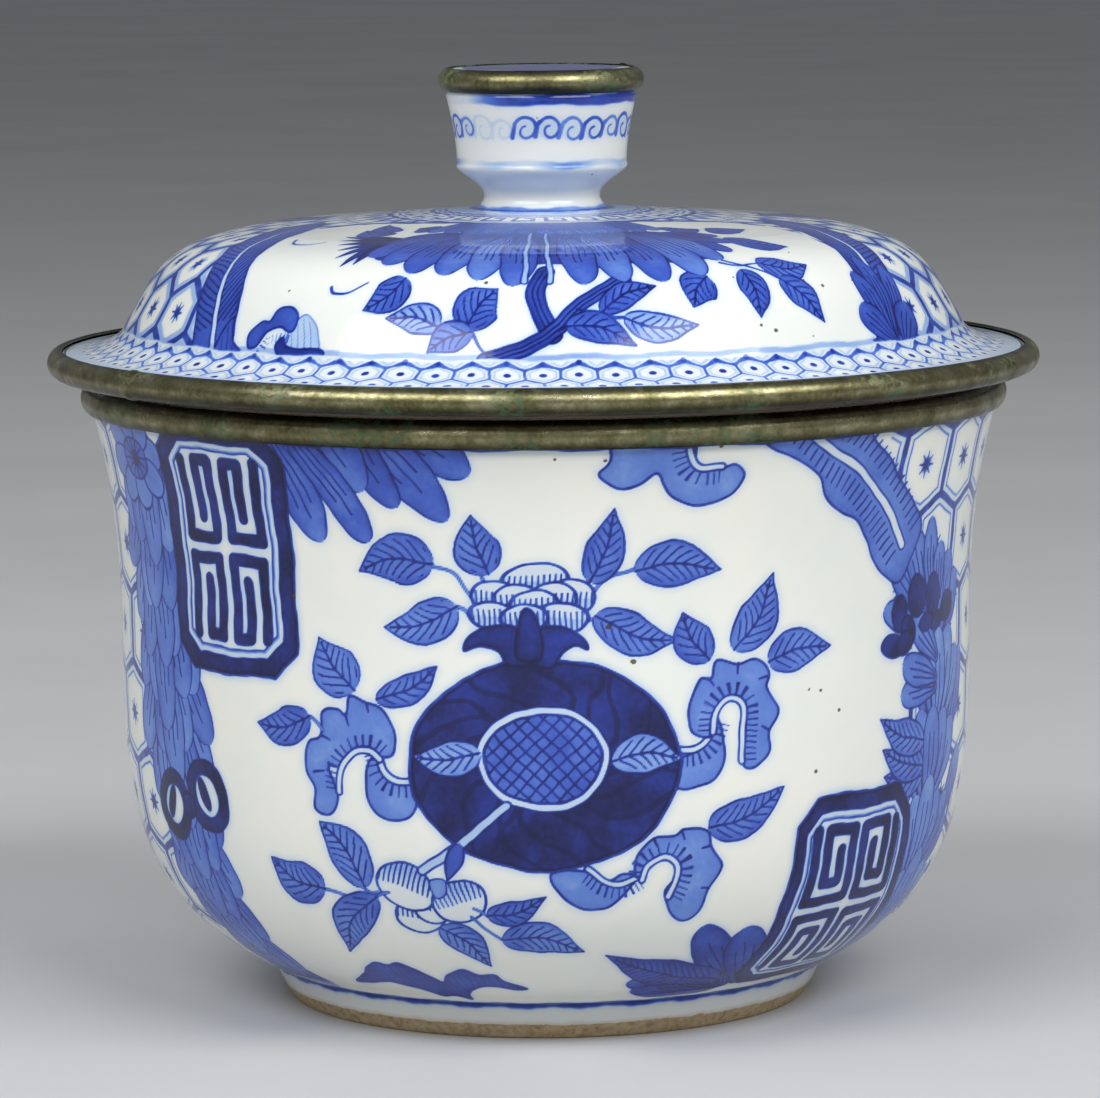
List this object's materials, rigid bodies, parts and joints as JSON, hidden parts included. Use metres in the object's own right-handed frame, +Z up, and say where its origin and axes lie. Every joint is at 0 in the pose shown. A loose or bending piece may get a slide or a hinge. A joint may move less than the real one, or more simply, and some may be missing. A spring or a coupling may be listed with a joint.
{
  "type": "covered rice bowl",
  "caption": "Deep round porcelain rice bowl on a foot ring, with a domed lift-off lid, waisted knob, crimped brass bands on the rims and blue painted decoration.",
  "frame": {"origin": "centre of the foot ring's underside, where the bowl stands", "axes": "+Z up along the turning axis through the knob, -Y towards the front of the painted panel"},
  "size_m": [0.2, 0.2, 0.188],
  "materials": {
    "glazed_porcelain": null,
    "aged_brass": "dull olive-brown brass, polished on its crown, with green verdigris in spots",
    "lacquer_putty": "dark matt lacquer putty"
  },
  "bodies": {
    "bowl": {"bowl_body": "glazed_porcelain", "bowl_rim_band": "aged_brass", "bowl_band_bedding": "lacquer_putty"},
    "lid": {"lid_body": "glazed_porcelain", "lid_knob": "glazed_porcelain", "lid_rim_band": "aged_brass", "lid_band_bedding": "lacquer_putty", "knob_band": "aged_brass", "knob_band_bedding": "lacquer_putty"}
  },
  "joints": [
    {"name": "lid_lift", "type": "slide", "parent": "bowl", "child": "lid", "axis": [0, 0, 1], "range_m": [0, 0.05]}
  ]
}
